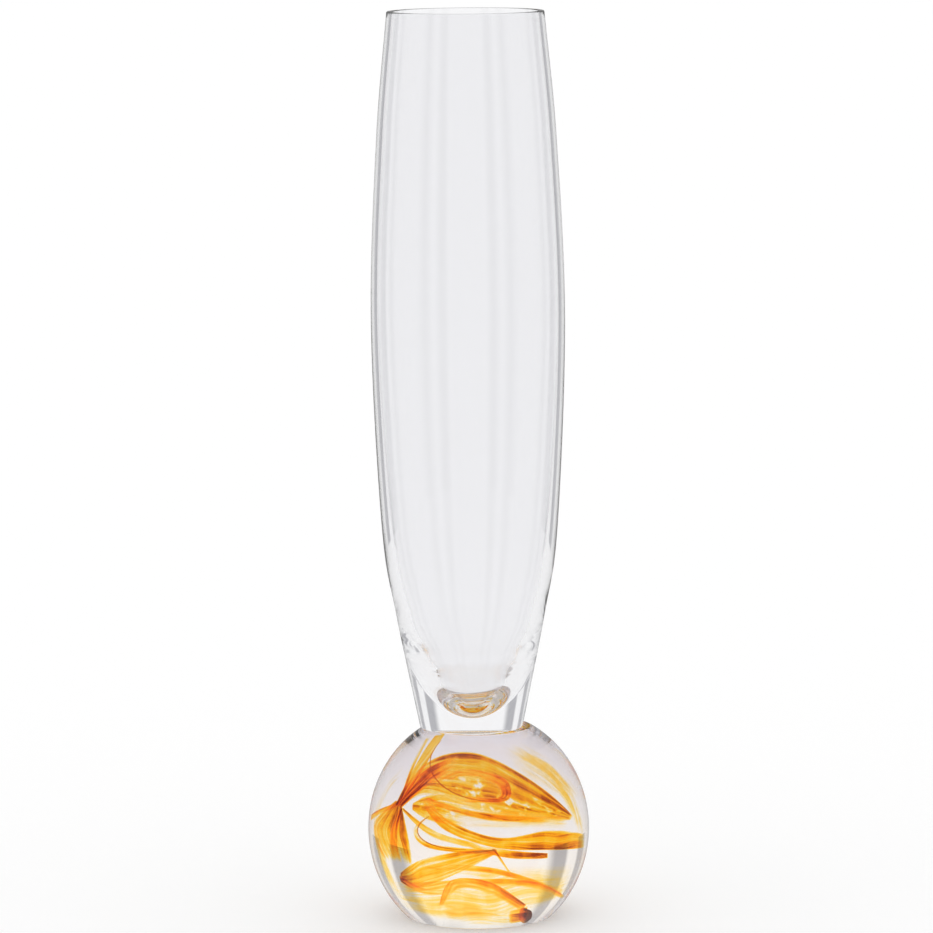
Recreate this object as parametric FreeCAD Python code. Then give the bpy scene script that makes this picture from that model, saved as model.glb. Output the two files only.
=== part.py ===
"""Glass bud vase: a tall blown tube bonded on a solid glass ball with amber colour veils inside it.

Millimetres, +Z up. The origin is the middle of the flat under the ball, where the vase stands.
Each sub-part is written to parts/NAME.step.
"""

import FreeCAD
import Part
import os
from FreeCAD import Vector

# ---- Ball foot: solid clear glass, a little taller than it is wide ----
BALL_RADIUS = 33.0          # half of its width
BALL_HALF_HEIGHT = 35.1     # half of its height before the flats are ground
BASE_FLAT_DEPTH = 8.7       # glass ground away under the ball
TOP_FLAT_DEPTH = 4.4        # glass ground away for the joint
BALL_EDGE_ROUND = 0.4       # softened edge round both flats

# ---- Bond between ball and tube ----
BOND_THICKNESS = 0.1        # clear adhesive film
BOND_EDGE_GAP = 0.3         # the film stops this far inside both glass edges

# ---- Tube: hand blown, bonded slightly off the middle of the ball ----
TUBE_OFFSET = -1.9          # in X, from the ball's axis
TUBE_HEIGHT = 212.8
FOOT_RADIUS = 15.3
TAPER_HEIGHT = 33.8         # the straight taper above the foot ends here
TAPER_RADIUS = 22.1
SWELL_HEIGHT = 60.0         # the side curves over towards the widest point
SWELL_RADIUS = 26.1
WIDEST_HEIGHT = 121.0
WIDEST_RADIUS = 28.7
SHOULDER_DROP = 37.8        # below the mouth
SHOULDER_RADIUS = 26.6
MOUTH_RADIUS = 23.2
WALL_MOUTH = 1.8
WALL_SHOULDER = 1.9
WALL_WIDEST = 1.95
WALL_SWELL = 2.9
WALL_TAPER = 3.9
FLOOR_THICKNESS = 4.4       # solid glass under the deepest point of the cavity
BOWL_RADIUS = 11.5          # the rounded floor meets the tapering side here
BOWL_DEPTH = 11.6           # height of that place above the deepest point
RIM_ROUND = 0.35            # fire-polished edges of the rim
FOOT_ROUND = 0.3

# ---- Colour veils ----
VEIL_THICKNESS = 0.6
VEIL_SECTIONS = 7           # cross-sections along each veil
THREAD_THICKNESS = 0.5
KNOT_WIDTH = 2.8
KNOT_HEIGHT = 4.2

# ---- Heights worked out from the sizes above ----
BALL_CENTRE_Z = BALL_HALF_HEIGHT - BASE_FLAT_DEPTH
BALL_TOP_Z = 2 * BALL_HALF_HEIGHT - BASE_FLAT_DEPTH - TOP_FLAT_DEPTH
TUBE_FOOT_Z = BALL_TOP_Z + BOND_THICKNESS
SHOULDER_HEIGHT = TUBE_HEIGHT - SHOULDER_DROP
TUBE_AXIS = Vector(TUBE_OFFSET, 0, 0)
Z_AXIS = Vector(0, 0, 1)


def spline(points, start_direction=None, end_direction=None):
    """One smooth curve through the points, with its end directions if they are given."""
    curve = Part.BSplineCurve()
    if start_direction and end_direction:
        curve.interpolate(Points=points, InitialTangent=start_direction, FinalTangent=end_direction)
    else:
        curve.interpolate(points)
    return curve.toShape()


def revolved(edges, axis_point):
    """A full turn of a closed outline, drawn in the XZ plane, about a vertical axis."""
    face = Part.Face(Part.Wire(edges))
    return Part.Solid(face.revolve(axis_point, Z_AXIS, 360).Shells[0])


def round_edges_at(solid, height, size):
    """Rounds the circular edges that lie flat at one height."""
    edges = [e for e in solid.Edges
             if abs(e.BoundBox.ZMin - height) < 1e-3 and abs(e.BoundBox.ZMax - height) < 1e-3
             and e.Length > 1]
    return solid.makeFillet(size, edges)


def tube():
    """The blown tube: a slim teardrop with a thin polished mouth and a heavy rounded floor."""
    def at(radius, height):
        return Vector(TUBE_OFFSET + radius, 0, TUBE_FOOT_Z + height)

    outside = [at(FOOT_RADIUS, 0), at(TAPER_RADIUS, TAPER_HEIGHT), at(SWELL_RADIUS, SWELL_HEIGHT),
               at(WIDEST_RADIUS, WIDEST_HEIGHT), at(SHOULDER_RADIUS, SHOULDER_HEIGHT),
               at(MOUTH_RADIUS, TUBE_HEIGHT)]
    inside = [at(MOUTH_RADIUS - WALL_MOUTH, TUBE_HEIGHT),
              at(SHOULDER_RADIUS - WALL_SHOULDER, SHOULDER_HEIGHT),
              at(WIDEST_RADIUS - WALL_WIDEST, WIDEST_HEIGHT),
              at(SWELL_RADIUS - WALL_SWELL, SWELL_HEIGHT),
              at(TAPER_RADIUS - WALL_TAPER, TAPER_HEIGHT),
              at(BOWL_RADIUS, FLOOR_THICKNESS + BOWL_DEPTH),
              at(0, FLOOR_THICKNESS)]
    into_mouth = inside[1] - inside[0]
    edges = [spline(outside),
             Part.LineSegment(outside[-1], inside[0]).toShape(),
             spline(inside, into_mouth, Vector(-1, 0, 0)),
             Part.LineSegment(inside[-1], at(0, 0)).toShape(),
             Part.LineSegment(at(0, 0), outside[0]).toShape()]
    solid = revolved(edges, TUBE_AXIS)
    solid = round_edges_at(solid, TUBE_FOOT_Z + TUBE_HEIGHT, RIM_ROUND)
    return round_edges_at(solid, TUBE_FOOT_Z, FOOT_ROUND)


def flat_radius(depth):
    """Radius of the flat left when this depth is ground off the ball."""
    share = 1 - depth / BALL_HALF_HEIGHT
    return BALL_RADIUS * (1 - share ** 2) ** 0.5


def clear_ball():
    """The ball with both of its flats ground, before the veils are let into it."""
    egg = Part.makeSphere(1.0)
    stretch = FreeCAD.Matrix()
    stretch.scale(BALL_RADIUS, BALL_RADIUS, BALL_HALF_HEIGHT)
    egg = egg.transformGeometry(stretch)
    egg.translate(Vector(0, 0, BALL_CENTRE_Z))
    between_flats = Part.makeCylinder(2 * BALL_RADIUS, BALL_TOP_Z)
    ball = egg.common(between_flats).Solids[0]
    ball = round_edges_at(ball, 0, BALL_EDGE_ROUND)
    return round_edges_at(ball, BALL_TOP_Z, BALL_EDGE_ROUND)


def bond():
    """The adhesive film, only as large as the face that tube and ball share."""
    under_tube = Part.makeCylinder(FOOT_RADIUS - BOND_EDGE_GAP, BOND_THICKNESS,
                                   Vector(TUBE_OFFSET, 0, BALL_TOP_Z))
    over_ball = Part.makeCylinder(flat_radius(TOP_FLAT_DEPTH) - BOND_EDGE_GAP - BALL_EDGE_ROUND,
                                  BOND_THICKNESS, Vector(0, 0, BALL_TOP_Z))
    return under_tube.common(over_ball).Solids[0]


def in_ball(x, y, z):
    """A place in the ball, as shares of its half width and half height from its centre."""
    return Vector(x * BALL_RADIUS, y * BALL_RADIUS, BALL_CENTRE_Z + z * BALL_HALF_HEIGHT)


def along(places):
    """The direction of travel at each place of a path."""
    last = len(places) - 1
    steps = [places[min(i + 1, last)] - places[max(i - 1, 0)] for i in range(last + 1)]
    return [step.normalize() for step in steps]


def cut_across(one, other, travel, thickness):
    """The outline of a ribbon or thread square to its path: two arcs that meet at its edges."""
    middle = (one + other) * 0.5
    bulge = travel.cross(one - other).normalize() * (thickness / 2)
    front = Part.Arc(one, middle + bulge, other).toShape()
    back = Part.Arc(other, middle - bulge, one).toShape()
    return Part.Wire([front, back])


def veil(first_edge, second_edge):
    """A ribbon of coloured glass between two smooth edges, each given by a few places on it."""
    edges = [spline([in_ball(*place) for place in places]) for places in (first_edge, second_edge)]
    sides = list(zip(*(edge.discretize(Number=VEIL_SECTIONS) for edge in edges)))
    middles = [(one + other) * 0.5 for one, other in sides]
    wires = [cut_across(one, other, travel, VEIL_THICKNESS)
             for (one, other), travel in zip(sides, along(middles))]
    return Part.makeLoft(wires, True, False)


def thread(places):
    """A fine round thread of coloured glass through the places."""
    points = [in_ball(*place) for place in places]
    path = Part.Wire(spline(points))
    start = path.Edges[0]
    travel = start.tangentAt(start.FirstParameter)
    circle = Part.Circle(points[0], travel, THREAD_THICKNESS / 2).toShape()
    return path.makePipeShell([Part.Wire(circle)], True, False)


def knot(place):
    """The dark blob where the colour was gathered."""
    lump = Part.makeSphere(0.5)
    stretch = FreeCAD.Matrix()
    stretch.scale(KNOT_WIDTH, KNOT_WIDTH, KNOT_HEIGHT)
    lump = lump.transformGeometry(stretch)
    lump.translate(in_ball(*place))
    return lump


# Each veil is laid between two edges, and each thread is one line. Their places are set in twentieths
# of the ball's half width and half height from its centre, with -Y towards the front.
VEILS = {
    "crown_veil": ([(-0.50, 0.00, 0.15), (-0.20, 0.05, 0.50), (0.25, 0.05, 0.35), (0.65, -0.05, 0.05)],
                   [(-0.50, -0.10, 0.10), (-0.25, -0.25, 0.20), (0.15, -0.30, 0.10), (0.60, -0.10, 0.00)]),
    "twist_blade": ([(-0.35, -0.20, 0.75), (-0.45, -0.20, 0.50), (-0.60, -0.20, 0.25)],
                    [(-0.25, -0.20, 0.75), (-0.40, -0.20, 0.50), (-0.55, -0.20, 0.20)]),
    "fan_tail": ([(-0.60, -0.20, 0.15), (-0.75, -0.15, 0.00), (-0.60, -0.15, -0.25)],
                 [(-0.55, -0.20, 0.15), (-0.45, -0.20, -0.05), (-0.50, -0.15, -0.25)]),
    "cross_sash": ([(-0.50, -0.40, 0.30), (-0.20, -0.50, 0.15), (0.20, -0.50, 0.00), (0.80, -0.20, -0.05)],
                   [(-0.50, -0.40, 0.25), (-0.20, -0.50, 0.05), (0.20, -0.50, -0.10), (0.80, -0.20, -0.15)]),
    "fold_ribbon": ([(-0.60, -0.40, -0.25), (-0.30, -0.40, -0.15), (0.10, -0.40, -0.10)],
                    [(-0.60, -0.40, -0.30), (-0.30, -0.40, -0.30), (0.10, -0.40, -0.15)]),
    "low_band": ([(-0.50, -0.05, -0.30), (0.00, 0.00, -0.30), (0.55, -0.05, -0.45)],
                 [(-0.50, -0.05, -0.40), (0.00, 0.00, -0.35), (0.55, -0.05, -0.50)]),
    "bottom_band": ([(-0.30, -0.35, -0.50), (-0.15, -0.35, -0.30), (0.10, -0.35, -0.30), (0.30, -0.35, -0.45)],
                    [(-0.25, -0.35, -0.50), (-0.10, -0.35, -0.40), (0.10, -0.35, -0.40), (0.25, -0.35, -0.50)]),
    "shoulder_veil": ([(0.20, 0.15, 0.60), (0.45, 0.25, 0.45), (0.60, 0.35, 0.20)],
                      [(0.25, 0.10, 0.55), (0.60, 0.10, 0.35), (0.65, 0.30, 0.15)]),
}
THREADS = {
    "upper_thread": [(-0.30, -0.30, 0.75), (-0.40, -0.45, 0.55), (-0.20, -0.55, 0.35), (0.10, -0.55, 0.30)],
    "side_thread": [(-0.40, -0.60, 0.20), (-0.55, -0.60, 0.05), (-0.40, -0.60, -0.05), (-0.10, -0.65, -0.05)],
}
KNOT_PLACE = (0.35, -0.35, -0.60)


def colours():
    """Every piece of coloured glass inside the ball, by name."""
    pieces = {name: veil(*edges) for name, edges in VEILS.items()}
    pieces.update({name: thread(places) for name, places in THREADS.items()})
    pieces["dark_knot"] = knot(KNOT_PLACE)
    return pieces


def ball_around(pieces):
    """Clear glass with an exact hollow for each coloured piece."""
    ball = clear_ball()
    for piece in pieces:
        ball = ball.cut(piece)
    return ball.Solids[0]


def main():
    os.makedirs("parts", exist_ok=True)
    coloured = colours()
    nodes = {"vase_body": tube(), "joint_bond": bond(), "ball_foot": ball_around(coloured.values())}
    nodes.update(coloured)
    for name, solid in nodes.items():
        solid.exportStep(f"parts/{name}.step")
        box = solid.optimalBoundingBox()
        print(f"{name}: valid {solid.isValid()}, {solid.Volume:.1f} mm3,"
              f" x {box.XMin:.1f}..{box.XMax:.1f}, y {box.YMin:.1f}..{box.YMax:.1f},"
              f" z {box.ZMin:.2f}..{box.ZMax:.2f}")


main()
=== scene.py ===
"""Glass bud vase: a tall blown tube bonded on a solid glass ball with amber colour laid inside it."""
import bmesh
import bpy
import math
from mathutils import Matrix, Vector, noise


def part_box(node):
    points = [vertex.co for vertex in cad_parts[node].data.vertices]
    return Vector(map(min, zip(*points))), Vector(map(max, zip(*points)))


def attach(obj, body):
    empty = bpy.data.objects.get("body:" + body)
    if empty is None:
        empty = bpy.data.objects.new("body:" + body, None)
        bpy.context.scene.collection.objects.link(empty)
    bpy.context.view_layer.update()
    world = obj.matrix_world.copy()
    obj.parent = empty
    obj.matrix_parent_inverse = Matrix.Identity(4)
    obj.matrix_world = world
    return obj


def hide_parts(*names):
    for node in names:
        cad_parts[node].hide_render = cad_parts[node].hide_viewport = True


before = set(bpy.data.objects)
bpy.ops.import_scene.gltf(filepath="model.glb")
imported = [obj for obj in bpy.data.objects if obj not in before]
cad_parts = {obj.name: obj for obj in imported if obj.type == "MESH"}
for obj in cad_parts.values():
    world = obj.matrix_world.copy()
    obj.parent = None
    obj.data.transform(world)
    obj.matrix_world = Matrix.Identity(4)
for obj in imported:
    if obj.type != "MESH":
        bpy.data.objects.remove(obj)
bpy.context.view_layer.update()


# ---- Ball foot --------------------------------------------------------------------------------
# A solid ball of clear glass, shaped by hand and a little taller than wide, with painted lavender shade
# mixed into its colour towards the top. Its underside is ground flat to stand on, and its top is ground
# flat for the joint.

ball_low, ball_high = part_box("ball_foot")
BALL_RADIUS = (ball_high.x - ball_low.x) / 2
TALLER_THAN_WIDE = 1.064
BALL_HALF_HEIGHT = BALL_RADIUS * TALLER_THAN_WIDE
BASE_FLAT_DEPTH = 0.0087
BALL_CENTRE = Vector((0.0, 0.0, BALL_HALF_HEIGHT - BASE_FLAT_DEPTH))
FLAT_EDGE_ROUND = 0.0004
BALL_IOR = 1.5
CLEAR_MELT = (0.985, 0.93, 0.865, 1.0)
# painted shade: a lavender grey for the dim surroundings that the upper ball shows, mixed into the glass
# colour
PAINTED_LAVENDER_SHADE = (0.70, 0.66, 0.76, 1.0)
PAINTED_SHADE_STARTS = -0.4              # share of the half height where the painted lavender shade begins
PAINTED_SHADE_FULL = 0.8                 # and where it is deepest
BOND_TINT = (1.0, 0.995, 0.985, 1)
LATHE_STEPS = 192
BALL_SIDE_STEPS = 96
CORNER_STEPS = 6
SAME_PLACE = 1e-6               # vertices nearer than this are merged
LEVEL = 0.99999                 # a face whose normal is this upright is flat ground glass
CONTACT_X = -0.0011             # middle of the face that tube and ball share
CONTACT_RADIUS = 0.0142


class Maker:
    """Builds a tree of shader nodes, for a new material unless a tree is given."""

    def __init__(self, name=None, tree=None):
        if name:
            self.material = bpy.data.materials.new(name)
            self.material.use_nodes = True
            tree = self.material.node_tree
        self.tree = tree
        self.tree.nodes.clear()

    def node(self, kind, settings=None, inputs=(), **sockets):
        """Adds a node, makes its settings, then fills its sockets, by place or by name."""
        made = self.tree.nodes.new(kind)
        for key, value in (settings or {}).items():
            if key == "stops":
                self.set_stops(made.color_ramp, value)
            else:
                setattr(made, key, value)
        for place, value in inputs:
            self.fill(made.inputs[place], value)
        for key, value in sockets.items():
            self.fill(made.inputs[key.replace("_", " ")], value)
        return made

    def set_stops(self, ramp, stops):
        while len(ramp.elements) < len(stops):
            ramp.elements.new(1.0)
        for element, (place, colour) in zip(ramp.elements, stops):
            element.position = place
            element.color = colour

    def fill(self, socket, value):
        """Links a socket to an amount or another socket, or sets its value."""
        if isinstance(value, Amount):
            value = value.socket
        if isinstance(value, bpy.types.NodeSocket):
            self.tree.links.new(value, socket)
        else:
            socket.default_value = value

    def mixed(self, share, first, second):
        """One colour turning into another as the share goes from 0 to 1."""
        return self.node("ShaderNodeMix", {"data_type": "RGBA"},
                         ((0, share), (6, first), (7, second))).outputs[2]

    def finish(self, surface):
        self.node("ShaderNodeOutputMaterial", Surface=surface.outputs[0])
        return self.material


class Amount:
    """A number in a node tree. Sums with it add Math nodes."""

    def __init__(self, maker, socket):
        self.maker = maker
        self.socket = socket

    def math(self, operation, first, second=0.0):
        node = self.maker.node("ShaderNodeMath", {"operation": operation}, ((0, first), (1, second)))
        return Amount(self.maker, node.outputs[0])

    def __add__(self, other):
        return self.math("ADD", self, other)

    def __sub__(self, other):
        return self.math("SUBTRACT", self, other)

    def __rsub__(self, other):
        return self.math("SUBTRACT", other, self)

    def __mul__(self, other):
        return self.math("MULTIPLY", self, other)

    __radd__ = __add__
    __rmul__ = __mul__

    def between(self, low, high):
        """0 below low, 1 above high, and smooth between them."""
        node = self.maker.node("ShaderNodeMapRange", {"interpolation_type": "SMOOTHSTEP"},
                               Value=self.socket, From_Min=low, From_Max=high)
        return Amount(self.maker, node.outputs["Result"])


def glass_with_painted_top_shade():
    """The ball's clear glass, with painted shade: its colour turns lavender grey with height, towards
    the top.
    """
    maker = Maker("clear_glass_with_painted_top_shade")
    place = maker.node("ShaderNodeTexCoord").outputs["Object"]
    height = Amount(maker, maker.node("ShaderNodeSeparateXYZ", Vector=place).outputs["Z"])
    upper = height.between(BALL_CENTRE.z + PAINTED_SHADE_STARTS * BALL_HALF_HEIGHT,
                           BALL_CENTRE.z + PAINTED_SHADE_FULL * BALL_HALF_HEIGHT)
    return maker.finish(maker.node("ShaderNodeBsdfPrincipled", Roughness=0.0, IOR=BALL_IOR,
                                   Base_Color=maker.mixed(upper, CLEAR_MELT, PAINTED_LAVENDER_SHADE),
                                   Transmission_Weight=1.0))


def bonded_contact():
    """Where two ground glass faces are wetted by the adhesive, no light is turned or reflected."""
    maker = Maker("bonded_contact")
    return maker.finish(maker.node("ShaderNodeBsdfTransparent", Color=BOND_TINT))


def object_from(bm, name, *materials):
    """Turns a bmesh into a shown piece that rides on the vase. Level faces are left flat."""
    bmesh.ops.recalc_face_normals(bm, faces=bm.faces)
    for face in bm.faces:
        face.smooth = abs(face.normal.z) < LEVEL
    mesh = bpy.data.meshes.new(name)
    bm.to_mesh(mesh)
    bm.free()
    for material in materials:
        mesh.materials.append(material)
    piece = bpy.data.objects.new(name, mesh)
    bpy.context.scene.collection.objects.link(piece)
    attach(piece, "root")
    return piece


def turned(outline, centre, steps):
    """A bmesh turned on a lathe: an outline of (radius, height) spun a full turn about Z."""
    bm = bmesh.new()
    corners = [bm.verts.new((centre.x + radius, centre.y, height)) for radius, height in outline]
    edges = [bm.edges.new(pair) for pair in zip(corners, corners[1:])]
    bmesh.ops.spin(bm, geom=corners + edges, cent=(centre.x, centre.y, 0), axis=(0, 0, 1),
                   angle=math.tau, steps=steps, use_merge=True)
    bmesh.ops.remove_doubles(bm, verts=bm.verts, dist=SAME_PLACE)
    return bm


def close_with_contact(bm, height, steps):
    """Closes the open flat at one height with a disc of bonded contact inside a clear border."""
    border = [e for e in bm.edges if e.is_boundary]
    made = bmesh.ops.create_circle(bm, cap_tris=True, segments=steps, radius=CONTACT_RADIUS)
    for vert in made["verts"]:
        vert.co += Vector((CONTACT_X, 0, height))
    inner = set(made["verts"])
    disc = [f for f in bm.faces if all(v in inner for v in f.verts)]
    for face in disc:
        face.material_index = 1
    ring = [e for e in bm.edges if e.is_boundary and e not in border]
    bmesh.ops.bridge_loops(bm, edges=border + ring)


def rounded_corner(corner, before, after, size):
    """The corner of an outline between two straight directions, rounded off."""
    start = Vector(corner) + (Vector(before) - Vector(corner)).normalized() * size
    end = Vector(corner) + (Vector(after) - Vector(corner)).normalized() * size
    places = []
    for step in range(CORNER_STEPS + 1):
        t = step / CORNER_STEPS
        places.append(tuple(start * (1 - t) ** 2 + Vector(corner) * (2 * t * (1 - t)) + end * t * t))
    return places


def ball_outline():
    """Half of the ball's outline, from the middle of the base to the edge of the top flat."""
    low_angle = math.asin(-BALL_CENTRE.z / BALL_HALF_HEIGHT)
    high_angle = math.asin((ball_high.z - BALL_CENTRE.z) / BALL_HALF_HEIGHT)
    side = []
    for step in range(BALL_SIDE_STEPS + 1):
        angle = low_angle + (high_angle - low_angle) * step / BALL_SIDE_STEPS
        side.append((BALL_RADIUS * math.cos(angle), BALL_CENTRE.z + BALL_HALF_HEIGHT * math.sin(angle)))
    low_corner = rounded_corner(side[0], (0, 0), side[1], FLAT_EDGE_ROUND)
    high_corner = rounded_corner(side[-1], side[-2], (0, ball_high.z), FLAT_EDGE_ROUND)
    return [(0.0, 0.0)] + low_corner + side[1:-1] + high_corner


ball_mesh = turned(ball_outline(), Vector((0, 0, 0)), LATHE_STEPS)
close_with_contact(ball_mesh, ball_high.z, LATHE_STEPS)
ball = object_from(ball_mesh, "ball_glass", glass_with_painted_top_shade(), bonded_contact())
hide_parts("ball_foot")


# ---- Colour inside the ball --------------------------------------------------------------------
# Veils of amber glass, trailed over the hot core and folded in on themselves before the last
# gather of clear glass went over them. Each is a thin sheet, streaked along the way it was drawn,
# with dark folded edges and ends that thin out to nothing.

BALL_SCALE = Vector((BALL_RADIUS, BALL_RADIUS, BALL_HALF_HEIGHT))
VEIL_THICKNESS = 0.00025
VEIL_STEPS_ALONG = 64
VEIL_STEPS_ACROSS = 24
VEIL_RIPPLE = 0.012             # how far a sheet sways, as a share of the ball's radius
RIPPLE_SCALE = 2.5
FOLD_PLACE = 0.06               # the dark line of a folded edge, as shares of the sheet's width
FOLD_WIDTH = 0.05
FOLD_BORDER = 0.03
OPENINGS_ACROSS = (0.2, 0.5)    # shares of the sheet where clear openings start and are many
OPENINGS_ALONG = (0.15, 0.4)
STREAK_LENGTH = 2.5
STREAK_APART = Vector((3.7, 1.3))    # keeps one sheet's streaks from repeating in the next
STREAK_BEND = (0.10, 0.10, 0)
BEND_SCALE = 1.1
BROAD_STREAKS = (0.45, 11.0, 2.0)    # scale along the sheet, scale across it, and detail
FINE_STREAKS = (0.7, 42.0, 3.0)
HAIR_STREAKS = (0.9, 80.0, 2.0)
BLOTCHES = (4.0, 5.0, 2.0)
OPENING_SPOTS = (4.0, 12.0, 2.0)
STREAK_RANGE = (0.30, 0.70)     # the noise at which streaks start and are full
HAIR_RANGE = (0.54, 0.66)
BLOTCH_RANGE = (0.35, 0.65)
OPENING_RANGE = (0.50, 0.74)
NOISE_ROUGHNESS = 0.6
FINE_SHARE = 0.40
HAIR_DEPTH = 0.30
PALEST_BLOTCH = 0.86
BLOTCH_DEPTH = 0.24
AMBER_ROUGHNESS = 0.2
AMBER_IOR = 1.0                 # fused into glass of its own kind, a sheet doesn't turn the light
CLEAR_BELOW = 0.24              # sheets thin out to nothing below this depth of colour
# painted light: the amber sheets glow faintly in their own colour, for light they would gather from the
# room
PAINTED_GLOW = 0.06
AMBER_DEPTHS = [(0.0, (1.0, 0.84, 0.46, 1)), (0.18, (1.0, 0.72, 0.14, 1)),
                (0.38, (1.0, 0.55, 0.004, 1)), (0.56, (0.97, 0.36, 0.001, 1)),
                (0.76, (0.70, 0.17, 0.001, 1)), (1.0, (0.36, 0.05, 0.001, 1))]


def in_ball(x, y, z):
    """A place in the ball, as shares of its half width and half height from its centre."""
    return BALL_CENTRE + Vector((x, y, z)) * BALL_SCALE


def smooth_between(a, b, c, d, t):
    """The number a share t of the way from b to c, on a smooth line through all four."""
    return 0.5 * (2 * b + (c - a) * t + (2 * a - 5 * b + 4 * c - d) * t * t
                  + (3 * b - a - 3 * c + d) * t ** 3)


def on_line(run, share):
    """A place or number at a share of the way along a smooth line through the given ones."""
    place = share * (len(run) - 1)
    i = min(int(place), len(run) - 2)
    t = place - i
    near = run[max(i - 1, 0)], run[i], run[i + 1], run[min(i + 2, len(run) - 1)]
    if isinstance(run[0], tuple):
        return tuple(smooth_between(*parts, t) for parts in zip(*near))
    return smooth_between(*near, t)


def eased(value, low, high):
    """0 below low, 1 above high, and smooth between them."""
    t = min(max((value - low) / (high - low), 0.0), 1.0)
    return t * t * (3 - 2 * t)


def colour_depth(strength, along, across, rims, feather):
    """How deep the amber is at one place of a veil: folded edges are darker, and ends fade."""
    first_rim, second_rim = rims
    body = eased(across, 0, feather[0]) * eased(1 - across, 0, feather[1])
    fold = (first_rim * math.exp(-((across - FOLD_PLACE) / FOLD_WIDTH) ** 2)
            + second_rim * math.exp(-((across - (1 - FOLD_PLACE)) / FOLD_WIDTH) ** 2))
    ends = eased(along, 0, feather[2]) * eased(1 - along, 0, feather[3])
    inside = eased(across, 0, FOLD_BORDER) * eased(1 - across, 0, FOLD_BORDER)
    return (strength * body + fold * inside) * ends


def painted_layer(bm, name):
    return bm.verts.layers.float.get(name) or bm.verts.layers.float.new(name)


def add_sheet(bm, number, first_edge, second_edge, depths, rims, feather, gaps=0.0):
    """Adds one sheet between two edges, with the depth of its colour at a few places along it."""
    uv_layer = bm.loops.layers.uv.verify()
    depth = painted_layer(bm, "colour_depth")
    openings = painted_layer(bm, "openings")
    made = bmesh.ops.create_grid(bm, x_segments=VEIL_STEPS_ALONG, y_segments=VEIL_STEPS_ACROSS,
                                 size=0.5)
    verts = made["verts"]
    faces = list({face for vert in verts for face in vert.link_faces})
    length = sum((Vector(two) - Vector(one)).length for one, two in zip(first_edge, first_edge[1:]))
    width = max((Vector(on_line(second_edge, share)) - Vector(on_line(first_edge, share))).length
                for share in (0.0, 0.25, 0.5, 0.75, 1.0))
    for face in faces:
        for loop in face.loops:
            along, across = loop.vert.co.x + 0.5, loop.vert.co.y + 0.5
            loop[uv_layer].uv = (number * STREAK_APART.x + along * length * STREAK_LENGTH,
                                 number * STREAK_APART.y + across * width)
    for vert in verts:
        along, across = vert.co.x + 0.5, vert.co.y + 0.5
        one = in_ball(*on_line(first_edge, along))
        other = in_ball(*on_line(second_edge, along))
        vert[depth] = colour_depth(on_line(depths, along), along, across, rims, feather)
        vert[openings] = gaps * eased(across, *OPENINGS_ACROSS) * eased(along, *OPENINGS_ALONG)
        vert.co = one.lerp(other, across)
        sway = noise.noise(vert.co / BALL_RADIUS * RIPPLE_SCALE + Vector((number, 0, 0)))
        vert.co += Vector((0, sway * VEIL_RIPPLE * BALL_RADIUS, 0))
    bmesh.ops.recalc_face_normals(bm, faces=faces)
    bmesh.ops.solidify(bm, geom=faces, thickness=VEIL_THICKNESS)


def streaked_amber(name, streak_contrast, scatter):
    """Amber glass in streaks along the sheet. Thin places are clear, deep ones nearly brown."""
    maker = Maker(name)
    uv = maker.node("ShaderNodeTexCoord").outputs["UV"]
    bend = maker.node("ShaderNodeTexNoise", {"noise_dimensions": "2D"},
                      Vector=uv, Scale=BEND_SCALE, Detail=1.0)
    flow = maker.node("ShaderNodeVectorMath", {"operation": "MULTIPLY_ADD"},
                      ((0, bend.outputs["Color"]), (1, STREAK_BEND), (2, uv))).outputs[0]

    def noise_over(along, across, detail):
        stretched = maker.node("ShaderNodeMapping", Vector=flow, Scale=(along, across, 1))
        node = maker.node("ShaderNodeTexNoise", {"noise_dimensions": "2D"},
                          Vector=stretched.outputs[0], Scale=1.0, Detail=detail,
                          Roughness=NOISE_ROUGHNESS)
        return Amount(maker, node.outputs[0])

    def painted(layer):
        return Amount(maker, maker.node("ShaderNodeAttribute", {"attribute_name": layer}).outputs["Fac"])

    broad = noise_over(*BROAD_STREAKS).between(*STREAK_RANGE)
    fine = noise_over(*FINE_STREAKS).between(*STREAK_RANGE)
    hairs = noise_over(*HAIR_STREAKS).between(*HAIR_RANGE)
    blotches = noise_over(*BLOTCHES).between(*BLOTCH_RANGE)
    holes = noise_over(*OPENING_SPOTS).between(*OPENING_RANGE) * painted("openings")
    streaks = broad * (1 - FINE_SHARE) + fine * FINE_SHARE
    deep = (painted("colour_depth") * (1 - streak_contrast + streaks * (2 * streak_contrast))
            * (PALEST_BLOTCH + blotches * BLOTCH_DEPTH) * (1 + hairs * HAIR_DEPTH) * (1 - holes))
    ramp = maker.node("ShaderNodeValToRGB", {"stops": AMBER_DEPTHS}, Fac=deep)
    # Painted light: the emission makes every amber sheet glow faintly in its own colour.
    return maker.finish(maker.node("ShaderNodeBsdfPrincipled", Base_Color=ramp.outputs["Color"],
                                   Roughness=AMBER_ROUGHNESS, IOR=AMBER_IOR,
                                   Transmission_Weight=1 - scatter,
                                   Emission_Color=ramp.outputs["Color"], Emission_Strength=PAINTED_GLOW,
                                   Alpha=deep.between(0.0, CLEAR_BELOW)))


veil_amber = streaked_amber("streaked_amber_glass", streak_contrast=0.72, scatter=0.06)
# a pale haze for the shoulder sheets, which also carry painted shade along the ball's edges
haze_amber_and_painted_edge_shade = streaked_amber("pale_amber_haze_and_painted_edge_shade", streak_contrast=0.8, scatter=0.06)

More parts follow.
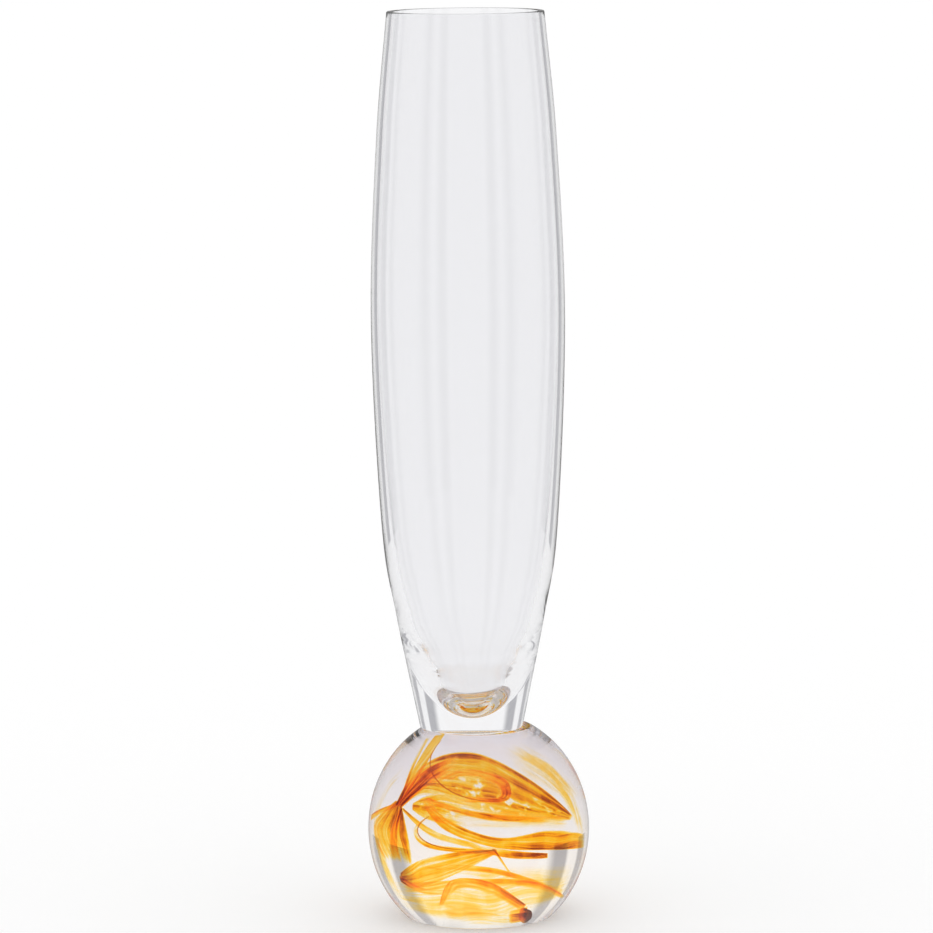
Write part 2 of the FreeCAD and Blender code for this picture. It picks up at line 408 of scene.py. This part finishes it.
# Each sheet: the places of its two edges as shares of the ball, the depth of its colour along it,
# how dark its two folded edges are, and how far its sides and ends are feathered.
VEIL_SHEETS = {
    "crown_veil": [
        ([(-0.55, -0.10, 0.20), (-0.35, 0.00, 0.42), (-0.05, 0.05, 0.47), (0.30, 0.05, 0.30),
          (0.65, -0.05, 0.08)],
         [(-0.53, -0.15, 0.17), (-0.35, -0.20, 0.25), (0.00, -0.30, 0.14), (0.35, -0.20, 0.08),
          (0.63, -0.05, 0.05)],
         (0.85, 0.57, 0.52, 0.52, 0.75), (0.18, 0.0), (0.04, 0.30, 0.02, 0.05), 0.85),
        ([(-0.57, -0.20, 0.22), (-0.40, -0.15, 0.42), (-0.10, -0.05, 0.50)],
         [(-0.55, -0.20, 0.18), (-0.35, -0.20, 0.33), (-0.10, -0.10, 0.45)],
         (0.95, 0.68, 0.30), (0.45, 0.25), (0.10, 0.30, 0.02, 0.40)),
        ([(-0.45, -0.35, 0.40), (-0.15, -0.35, 0.50), (0.20, -0.35, 0.42), (0.20, -0.35, 0.25),
          (-0.20, -0.35, 0.25)],
         [(-0.42, -0.35, 0.34), (-0.12, -0.35, 0.43), (0.12, -0.35, 0.36), (0.12, -0.35, 0.28),
          (-0.12, -0.35, 0.30)],
         (0.20, 0.45, 0.45, 0.50, 0.20), (0.20, 0.10), (0.20, 0.40, 0.15, 0.15)),
        ([(-0.40, -0.35, 0.30), (0.00, -0.35, 0.18), (0.55, -0.25, 0.12)],
         [(-0.40, -0.35, 0.25), (0.00, -0.35, 0.12), (0.55, -0.25, 0.07)],
         (0.40, 0.46, 0.30), (0.05, 0.05), (0.30, 0.30, 0.10, 0.20)),
        ([(-0.50, -0.35, 0.25), (-0.30, -0.40, 0.34), (0.10, -0.40, 0.25)],
         [(-0.50, -0.35, 0.20), (-0.35, -0.40, 0.12), (0.00, -0.40, 0.05)],
         (0.55, 0.40, 0.12), (0.0, 0.10), (0.25, 0.15, 0.05, 0.40), 0.9),
        ([(-0.20, -0.10, 0.15), (0.25, -0.10, 0.15), (0.65, -0.10, 0.10)],
         [(-0.20, -0.10, 0.00), (0.25, -0.10, 0.00), (0.65, -0.10, 0.00)],
         (0.10, 0.16, 0.16), (0.0, 0.0), (0.35, 0.35, 0.30, 0.20))],
    "twist_blade": [
        ([(-0.35, -0.20, 0.77), (-0.49, -0.20, 0.46), (-0.61, -0.20, 0.20)],
         [(-0.26, -0.20, 0.77), (-0.40, -0.20, 0.46), (-0.57, -0.20, 0.20)],
         (0.42, 0.58, 0.95), (0.25, 0.35), (0.10, 0.10, 0.05, 0.0001)),
        ([(-0.45, -0.25, 0.80), (-0.53, -0.25, 0.50), (-0.60, -0.25, 0.20)],
         [(-0.40, -0.25, 0.80), (-0.50, -0.25, 0.50), (-0.58, -0.25, 0.20)],
         (0.22, 0.36, 0.70), (0.10, 0.25), (0.20, 0.20, 0.10, 0.0001))],
    "fan_tail": [
        ([(-0.61, -0.20, 0.23), (-0.82, -0.10, 0.03), (-0.68, -0.15, -0.22)],
         [(-0.56, -0.20, 0.23), (-0.50, -0.25, 0.00), (-0.46, -0.25, -0.22)],
         (0.95, 0.50, 0.30), (0.15, 0.30), (0.12, 0.08, 0.0001, 0.25)),
        ([(-0.60, -0.30, 0.20), (-0.70, -0.30, 0.00), (-0.65, -0.25, -0.20)],
         [(-0.57, -0.30, 0.20), (-0.60, -0.30, 0.00), (-0.55, -0.30, -0.20)],
         (0.80, 0.45, 0.30), (0.10, 0.10), (0.25, 0.25, 0.0001, 0.30)),
        ([(-0.90, -0.10, 0.12), (-0.75, -0.15, 0.17), (-0.58, -0.20, 0.22)],
         [(-0.90, -0.10, 0.07), (-0.75, -0.15, 0.12), (-0.58, -0.20, 0.19)],
         (0.45, 0.60, 0.95), (0.35, 0.0), (0.10, 0.40, 0.10, 0.0001))],
    "cross_sash": [
        ([(-0.42, -0.50, 0.35), (-0.22, -0.50, 0.15), (0.15, -0.50, 0.02), (0.55, -0.40, 0.05),
          (0.88, -0.15, -0.03)],
         [(-0.46, -0.50, 0.30), (-0.27, -0.50, 0.08), (0.13, -0.50, -0.06), (0.55, -0.40, -0.10),
          (0.88, -0.15, -0.14)],
         (0.35, 0.55, 0.55, 0.52, 0.35), (0.10, 0.30), (0.20, 0.12, 0.10, 0.10)),
        ([(-0.10, -0.50, -0.02), (0.22, -0.45, -0.08), (0.52, -0.40, -0.12)],
         [(-0.10, -0.50, -0.06), (0.22, -0.45, -0.14), (0.52, -0.40, -0.16)],
         (0.35, 0.50, 0.90), (0.15, 0.30), (0.15, 0.15, 0.20, 0.03)),
        ([(-0.38, -0.55, 0.21), (-0.53, -0.55, 0.08), (-0.40, -0.60, -0.05), (0.10, -0.60, -0.10)],
         [(-0.39, -0.55, 0.18), (-0.49, -0.55, 0.08), (-0.38, -0.60, -0.01), (0.10, -0.60, -0.06)],
         (0.20, 0.34, 0.36, 0.20), (0.0, 0.12), (0.30, 0.25, 0.15, 0.15)),
        ([(-0.58, -0.30, 0.21), (-0.30, -0.45, 0.05), (0.05, -0.50, -0.03)],
         [(-0.57, -0.30, 0.18), (-0.33, -0.45, 0.00), (0.05, -0.50, -0.07)],
         (0.60, 0.22, 0.25), (0.10, 0.10), (0.25, 0.25, 0.03, 0.25))],
    "fold_ribbon": [
        ([(-0.62, -0.40, -0.27), (-0.45, -0.40, -0.16), (-0.15, -0.40, -0.09), (0.13, -0.40, -0.08)],
         [(-0.62, -0.40, -0.33), (-0.45, -0.40, -0.37), (-0.15, -0.40, -0.25), (0.13, -0.40, -0.11)],
         (1.05, 0.52, 0.46, 0.85), (0.15, 0.25), (0.10, 0.20, 0.0001, 0.02)),
        ([(0.09, -0.45, -0.07), (0.17, -0.45, -0.18), (0.25, -0.45, -0.29)],
         [(0.12, -0.45, -0.07), (0.19, -0.45, -0.18), (0.26, -0.45, -0.28)],
         (0.90, 0.65, 0.40), (0.10, 0.20), (0.20, 0.20, 0.0001, 0.20)),
        ([(-0.62, -0.35, -0.29), (-0.40, -0.40, -0.37), (-0.12, -0.40, -0.36)],
         [(-0.61, -0.35, -0.35), (-0.40, -0.40, -0.42), (-0.12, -0.40, -0.40)],
         (1.0, 0.42, 0.15), (0.20, 0.05), (0.15, 0.30, 0.0001, 0.30))],
    "low_band": [
        ([(-0.50, -0.05, -0.34), (0.00, -0.05, -0.30), (0.35, -0.05, -0.33), (0.62, -0.05, -0.48)],
         [(-0.50, -0.05, -0.42), (0.00, -0.05, -0.36), (0.35, -0.05, -0.38), (0.62, -0.05, -0.52)],
         (0.45, 0.38, 0.38, 0.40), (0.25, 0.0), (0.15, 0.35, 0.08, 0.15)),
        ([(-0.33, 0.10, -0.22), (0.10, 0.10, -0.25), (0.52, 0.10, -0.40)],
         [(-0.33, 0.10, -0.26), (0.10, 0.10, -0.29), (0.52, 0.10, -0.44)],
         (0.25, 0.38, 0.35), (0.15, 0.0), (0.20, 0.40, 0.15, 0.15))],
    "bottom_band": [
        ([(-0.30, -0.35, -0.50), (-0.20, -0.35, -0.30), (0.08, -0.35, -0.31), (0.35, -0.35, -0.50)],
         [(-0.27, -0.35, -0.50), (-0.13, -0.35, -0.37), (0.09, -0.35, -0.42), (0.31, -0.35, -0.56)],
         (0.70, 0.48, 0.42, 0.60), (0.30, 0.0), (0.08, 0.40, 0.10, 0.02)),
        ([(0.20, -0.35, -0.53), (0.36, -0.35, -0.50)],
         [(0.22, -0.35, -0.66), (0.37, -0.35, -0.66)],
         (0.25, 0.55, 0.75), (0.0, 0.10), (0.25, 0.25, 0.30, 0.02)),
        ([(-0.30, -0.20, -0.42), (0.30, -0.20, -0.50)],
         [(-0.28, -0.20, -0.62), (0.28, -0.20, -0.66)],
         (0.12, 0.22, 0.10), (0.0, 0.0), (0.35, 0.35, 0.25, 0.25)),
        ([(-0.60, 0.10, -0.30), (0.00, 0.15, -0.22), (0.65, 0.05, -0.22)],
         [(-0.50, 0.05, -0.52), (0.00, 0.10, -0.58), (0.60, 0.05, -0.46)],
         (0.14, 0.18, 0.14), (0.0, 0.0), (0.30, 0.30, 0.20, 0.20))],
    # Partly a faint amber haze in the glass and partly painted shade: these sheets run along the ball's
    # left and right edges to give them a peach shading.
    "shoulder_veil": [
        ([(0.25, 0.15, 0.57), (0.48, 0.20, 0.37), (0.65, 0.20, 0.13)],
         [(0.08, 0.15, 0.42), (0.29, 0.20, 0.21), (0.57, 0.20, 0.06)],
         (0.12, 0.20, 0.15), (0.0, 0.0), (0.35, 0.45, 0.30, 0.30)),
        ([(0.35, -0.30, 0.75), (0.76, -0.30, 0.38), (0.88, -0.15, -0.10)],
         [(0.20, -0.30, 0.60), (0.58, -0.30, 0.30), (0.76, -0.15, -0.10)],
         (0.09, 0.15, 0.10), (0.10, 0.0), (0.25, 0.45, 0.25, 0.25)),
        ([(-0.60, -0.20, 0.58), (-0.86, -0.15, 0.10), (-0.60, -0.15, -0.55)],
         [(-0.50, -0.20, 0.50), (-0.74, -0.15, 0.10), (-0.50, -0.15, -0.52)],
         (0.10, 0.12, 0.16), (0.0, 0.0), (0.30, 0.40, 0.25, 0.25))],
}

for piece_name, sheets in VEIL_SHEETS.items():
    veil_mesh = bmesh.new()
    for number, sheet in enumerate(sheets):
        add_sheet(veil_mesh, number, *sheet)
    # The shoulder sheets are partly amber haze and partly painted shade along the ball's edges.
    finish = haze_amber_and_painted_edge_shade if piece_name == "shoulder_veil" else veil_amber
    veil = object_from(veil_mesh, piece_name + "_sheet", finish)
    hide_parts(piece_name)


# ---- Threads -----------------------------------------------------------------------------------
# Fine hairs of the same amber glass, pulled out of the veils as the core was turned. They are
# round and a fraction of a millimetre thick, and end in points.

THREAD_RADIUS = 0.00022
THREAD_POINTINESS = 0.7
THREAD_END = 0.06               # how far from a true point each end is
THREAD_COLOUR = (0.88, 0.33, 0.01, 1)
THREAD_CLEARNESS = 0.8
THREAD_PLACES = {
    "upper_thread": [(-0.30, -0.30, 0.75), (-0.55, -0.45, 0.55), (-0.25, -0.55, 0.30),
                     (0.10, -0.55, 0.30)],
    "side_thread": [(-0.40, -0.60, 0.20), (-0.60, -0.60, 0.10), (-0.50, -0.60, -0.05),
                    (-0.10, -0.65, -0.05)],
}


def thread_glass():
    """The deeper amber of a drawn hair, which lets most light through."""
    maker = Maker("amber_thread_glass")
    return maker.finish(maker.node("ShaderNodeBsdfPrincipled", Base_Color=THREAD_COLOUR,
                                   Roughness=AMBER_ROUGHNESS, IOR=AMBER_IOR,
                                   Transmission_Weight=THREAD_CLEARNESS))


thread_amber = thread_glass()
for piece_name, places in THREAD_PLACES.items():
    line = bpy.data.curves.new(piece_name, "CURVE")
    line.dimensions = "3D"
    line.bevel_depth = THREAD_RADIUS
    line.bevel_resolution = 3
    line.use_fill_caps = True
    spline = line.splines.new("NURBS")
    spline.points.add(len(places) - 1)
    for number, (point, place) in enumerate(zip(spline.points, places)):
        point.co = (*in_ball(*place), 1)
        along = THREAD_END + (1 - 2 * THREAD_END) * number / (len(places) - 1)
        point.radius = math.sin(math.pi * along) ** THREAD_POINTINESS
    spline.order_u = 4
    spline.use_endpoint_u = True
    spline.resolution_u = 16
    line.materials.append(thread_amber)
    hair = bpy.data.objects.new(piece_name + "_hair", line)
    bpy.context.scene.collection.objects.link(hair)
    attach(hair, "root")
    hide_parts(piece_name)


# ---- Dark knot ---------------------------------------------------------------------------------
# The lump of thick brown amber at the end of the lowest veil, where the trail of colour was torn
# off. It is the darkest glass in the ball.

KNOT_PLACE = (0.35, -0.35, -0.60)
KNOT_SIZE = Vector((0.0018, 0.0015, 0.0026))
KNOT_LUMPS = 0.22
KNOT_LUMP_SCALE = 1.3
KNOT_LUMP_START = Vector((3, 1, 4))
KNOT_LEAN = 0.35
KNOT_BROWN = (0.16, 0.03, 0.006, 1)
KNOT_GLOW = (0.98, 0.42, 0.02, 1)
KNOT_CLEARNESS = 0.85
CLOUD_SCALE = 420.0
CLOUD_RANGE = (0.42, 0.70)      # where the paler orange starts and is full
PALER_TO_THE_LEFT = 160


def mottled_brown():
    """Thick brown amber glass, with paler orange where light still comes through it."""
    maker = Maker("dark_amber_glass")
    place = maker.node("ShaderNodeTexCoord").outputs["Object"]
    clouds = maker.node("ShaderNodeTexNoise", Vector=place, Scale=CLOUD_SCALE, Detail=3.0)
    side = Amount(maker, maker.node("ShaderNodeSeparateXYZ", Vector=place).outputs["X"])
    middle = in_ball(*KNOT_PLACE).x
    thin = Amount(maker, clouds.outputs[0]) - (side - middle) * PALER_TO_THE_LEFT
    paler = thin.between(*CLOUD_RANGE)
    return maker.finish(maker.node("ShaderNodeBsdfPrincipled", Roughness=AMBER_ROUGHNESS, IOR=AMBER_IOR,
                                   Base_Color=maker.mixed(paler, KNOT_BROWN, KNOT_GLOW),
                                   Transmission_Weight=KNOT_CLEARNESS))


knot_mesh = bmesh.new()
bmesh.ops.create_icosphere(knot_mesh, subdivisions=4, radius=1.0)
for vert in knot_mesh.verts:
    lump = 1 + KNOT_LUMPS * noise.noise(vert.co * KNOT_LUMP_SCALE + KNOT_LUMP_START)
    lean = KNOT_LEAN * vert.co.z
    vert.co = in_ball(*KNOT_PLACE) + (vert.co * lump + Vector((-lean, 0, 0))) * KNOT_SIZE
knot = object_from(knot_mesh, "dark_knot_lump", mottled_brown())
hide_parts("dark_knot")


# ---- Tube -------------------------------------------------------------------------------------
# The blown tube of clear glass: a thin cut and polished mouth, a side that swells and tapers, and
# a heavy floor with a rounded bowl in it. Its ground foot is bonded to the top of the ball.

tube_low, tube_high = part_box("vase_body")
TUBE_CENTRE = (tube_low + tube_high) / 2
TUBE_FOOT_Z = tube_low.z
TUBE_IOR = 1.5
TUBE_COLOUR = (0.932, 0.932, 0.944, 1.0)
FOOT_EDGE_ROUND = 0.0003
RIM_ROUND = 0.00035
OUTSIDE = [(0.0153, 0.0), (0.0221, 0.0338), (0.0261, 0.060), (0.0287, 0.121), (0.0266, 0.175),
           (0.0232, 0.2128)]
INSIDE = [(0.0214, 0.2128), (0.0247, 0.175), (0.02675, 0.121), (0.0232, 0.060), (0.0182, 0.0338),
          (0.0146, 0.0232), (0.0122, 0.0178)]
BOWL_RIM_RADIUS = 0.0108
BOWL_RIM_HEIGHT = 0.0150
BOWL_FLOOR_HEIGHT = 0.0044
BOWL_SHAPE = 1.8
OUTLINE_STEPS = 16
BOWL_STEPS = 24
CAVITY_DRIFT = [(0.0, 0.0003), (0.0150, 0.0003), (0.0338, 0.0001), (0.060, 0.0), (0.121, 0.0),
                (0.2128, 0.0)]


def tube_clear_glass():
    """Polished clear glass, with the faint grey of the melt."""
    maker = Maker("clear_glass")
    return maker.finish(maker.node("ShaderNodeBsdfPrincipled", Base_Color=TUBE_COLOUR,
                                   Roughness=0.0, IOR=TUBE_IOR, Transmission_Weight=1.0))


def smooth_through(points):
    """A smooth line through a few places, whose ends run on straight."""
    first = tuple(2 * a - b for a, b in zip(points[0], points[1]))
    last = tuple(2 * a - b for a, b in zip(points[-1], points[-2]))
    run = [first, *points, last]
    line = []
    for i in range(1, len(run) - 2):
        for step in range(OUTLINE_STEPS):
            t = step / OUTLINE_STEPS
            near = run[i - 1], run[i], run[i + 1], run[i + 2]
            line.append(tuple(smooth_between(*parts, t) for parts in zip(*near)))
    line.append(points[-1])
    return line


def bowl():
    """The rounded floor of the cavity, from its rim down to the middle."""
    depth = BOWL_RIM_HEIGHT - BOWL_FLOOR_HEIGHT
    places = []
    for step in range(BOWL_STEPS + 1):
        turn = math.pi / 2 * step / BOWL_STEPS
        places.append((BOWL_RIM_RADIUS * math.cos(turn),
                       BOWL_RIM_HEIGHT - depth * math.sin(turn) ** BOWL_SHAPE))
    return places


def lifted(outline):
    """An outline measured from the tube's foot, moved up to where the foot stands."""
    return [(radius, TUBE_FOOT_Z + height) for radius, height in outline]


def drift_at(height):
    """How far the blown cavity lies off the tube's own axis at one height."""
    for (low, first), (high, second) in zip(CAVITY_DRIFT, CAVITY_DRIFT[1:]):
        if height <= high:
            return first + (second - first) * eased(height, low, high)
    return CAVITY_DRIFT[-1][1]


side = smooth_through(OUTSIDE)
foot_corner = rounded_corner(side[0], (0, 0), side[1], FOOT_EDGE_ROUND)
lining = smooth_through(INSIDE)
outer_rim = rounded_corner(side[-1], side[-2], lining[0], RIM_ROUND)
inner_rim = rounded_corner(lining[0], side[-1], lining[1], RIM_ROUND)
tube_mesh = turned(lifted(foot_corner + side[1:-1] + outer_rim), TUBE_CENTRE, LATHE_STEPS)
cavity_mesh = turned(lifted(inner_rim + lining[1:] + bowl()), TUBE_CENTRE, LATHE_STEPS)
for vert in cavity_mesh.verts:
    vert.co.x += drift_at(vert.co.z - TUBE_FOOT_Z)
cavity_copy = bpy.data.meshes.new("cavity")
cavity_mesh.to_mesh(cavity_copy)
cavity_mesh.free()
tube_mesh.from_mesh(cavity_copy)
bpy.data.meshes.remove(cavity_copy)
mouth_edges = [e for e in tube_mesh.edges if e.is_boundary and e.verts[0].co.z > TUBE_CENTRE.z]
bmesh.ops.bridge_loops(tube_mesh, edges=mouth_edges)
close_with_contact(tube_mesh, TUBE_FOOT_Z, LATHE_STEPS)
tube = object_from(tube_mesh, "tube_glass", tube_clear_glass(), bonded_contact())
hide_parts("vase_body")


# ---- Bond -------------------------------------------------------------------------------------
# The film of clear adhesive that holds tube and ball together. It is a tenth of a millimetre
# thick, set hard by light, and reaches almost to the edge of both ground faces.

bond_low, bond_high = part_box("joint_bond")
BOND_SHARE = 0.8                # the film is this much of the gap's height, clear of both flats
bond_mesh = bmesh.new()
bmesh.ops.create_cone(bond_mesh, cap_ends=True, segments=LATHE_STEPS, radius1=CONTACT_RADIUS,
                      radius2=CONTACT_RADIUS, depth=(bond_high.z - bond_low.z) * BOND_SHARE)
bmesh.ops.translate(bond_mesh, verts=bond_mesh.verts,
                    vec=(CONTACT_X, 0, (bond_low.z + bond_high.z) / 2))
bond = object_from(bond_mesh, "bond_film", bonded_contact())
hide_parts("joint_bond")


# ---- Stage -------------------------------------------------------------------------------------
# A pale floor in a white studio. Grey nets stand well to the sides, where only light that the
# glass has bent can find them, and the room that polished glass mirrors is dimmer than the walls.

FLOOR_RADIUS = 14.0
NET_RADIUS = 0.45
NET_HEIGHT = 0.75
NET_SHADE = (0.48, 0.48, 0.50, 1)
NET_EDGES = (0.10, 0.55)        # on a wave from -1 in the gaps to 1 in the nets: start and full
NET_SLIT = (0.86, 0.96)         # and the clear slit in the middle of each net
NET_LIFT = 0.001
FLOOR_GREY = (0.8, 0.8, 0.8, 1)
FLOOR_GLOW = 0.21
MIRRORED_SIDES = 0.32
MIRRORED_CEILING = 0.80
MIRRORED_RISE = (0.2, 0.9)
CEILING = 0.62
CEILING_RISE = (0.45, 0.9)
WHITE = (1, 1, 1, 1)


def stage_object(bm, name, material):
    mesh = bpy.data.meshes.new(name)
    bm.to_mesh(mesh)
    bm.free()
    mesh.materials.append(material)
    stage_piece = bpy.data.objects.new(name, mesh)
    bpy.context.scene.collection.objects.link(stage_piece)
    return stage_piece


def floor_paint():
    maker = Maker("pale_floor")
    return maker.finish(maker.node("ShaderNodeBsdfPrincipled", Base_Color=FLOOR_GREY,
                                   Roughness=0.9, Specular_IOR_Level=0.0,
                                   Emission_Color=WHITE, Emission_Strength=FLOOR_GLOW))


def grey_nets():
    """Nets either side of each quarter turn, with clear gaps between them."""
    maker = Maker("grey_nets")
    place = maker.node("ShaderNodeTexCoord").outputs["Object"]
    across = Amount(maker, maker.node("ShaderNodeSeparateXYZ", Vector=place).outputs["X"])
    once = across * across * (2 / NET_RADIUS ** 2) - 1
    twice = 1 - once * once * 2
    net = twice.between(*NET_EDGES) * (1 - twice.between(*NET_SLIT))
    shade = maker.mixed(net, WHITE, NET_SHADE)
    return maker.finish(maker.node("ShaderNodeBsdfTransparent", Color=shade))


floor_mesh = bmesh.new()
bmesh.ops.create_circle(floor_mesh, cap_ends=True, segments=96, radius=FLOOR_RADIUS)
floor = stage_object(floor_mesh, "floor", floor_paint())
floor.visible_glossy = False

net_mesh = bmesh.new()
bmesh.ops.create_cone(net_mesh, cap_ends=False, segments=LATHE_STEPS, radius1=NET_RADIUS,
                      radius2=NET_RADIUS, depth=NET_HEIGHT)
bmesh.ops.translate(net_mesh, verts=net_mesh.verts, vec=(0, 0, NET_HEIGHT / 2 + NET_LIFT))
nets = stage_object(net_mesh, "nets", grey_nets())
nets.visible_camera = False
nets.visible_diffuse = False
nets.visible_glossy = False
nets.visible_shadow = False

world = bpy.data.worlds.new("studio")
bpy.context.scene.world = world
world.use_nodes = True
studio = Maker(tree=world.node_tree)
path = studio.node("ShaderNodeLightPath").outputs
heading = studio.node("ShaderNodeTexCoord").outputs["Generated"]
upward = Amount(studio, studio.node("ShaderNodeSeparateXYZ", Vector=heading).outputs["Z"])
seen_through = 1 - upward.between(*CEILING_RISE) * (1 - CEILING)
slope = upward.math("ABSOLUTE", upward)
mirrored = MIRRORED_SIDES + slope.between(*MIRRORED_RISE) * (MIRRORED_CEILING - MIRRORED_SIDES)
reflection = Amount(studio, path["Is Reflection Ray"])
direct = Amount(studio, path["Is Camera Ray"]) + Amount(studio, path["Is Diffuse Ray"])
in_glass = seen_through * (1 - reflection) + mirrored * reflection
strength = in_glass * (1 - direct) + direct
light = studio.node("ShaderNodeBackground", Color=WHITE, Strength=strength)
studio.node("ShaderNodeOutputWorld", Surface=light.outputs[0])


# ---- Camera ------------------------------------------------------------------------------------
# A long lens, set a little higher than the mouth and looking down on the vase.

CAMERA_DISTANCE = 1.570
CAMERA_HEIGHT = 0.336
CAMERA_ROLL = math.radians(-0.5)
CAMERA_LENS = 205.9
AIM = Vector((-0.0027, 0.0, 0.1352))
GLASS_BOUNCES = 64

camera_data = bpy.data.cameras.new("camera")
camera_data.lens = CAMERA_LENS
camera_data.sensor_width = 36.0
camera = bpy.data.objects.new("camera", camera_data)
bpy.context.scene.collection.objects.link(camera)
stand = Vector((AIM.x, -CAMERA_DISTANCE, CAMERA_HEIGHT))
look = (AIM - stand).to_track_quat("-Z", "Y").to_matrix().to_4x4()
camera.matrix_world = Matrix.Translation(stand) @ look @ Matrix.Rotation(CAMERA_ROLL, 4, "Z")

scene = bpy.context.scene
scene.camera = camera
scene.view_settings.view_transform = "Standard"
scene.cycles.max_bounces = GLASS_BOUNCES
scene.cycles.transmission_bounces = GLASS_BOUNCES
scene.cycles.glossy_bounces = GLASS_BOUNCES // 2
scene.cycles.transparent_max_bounces = GLASS_BOUNCES
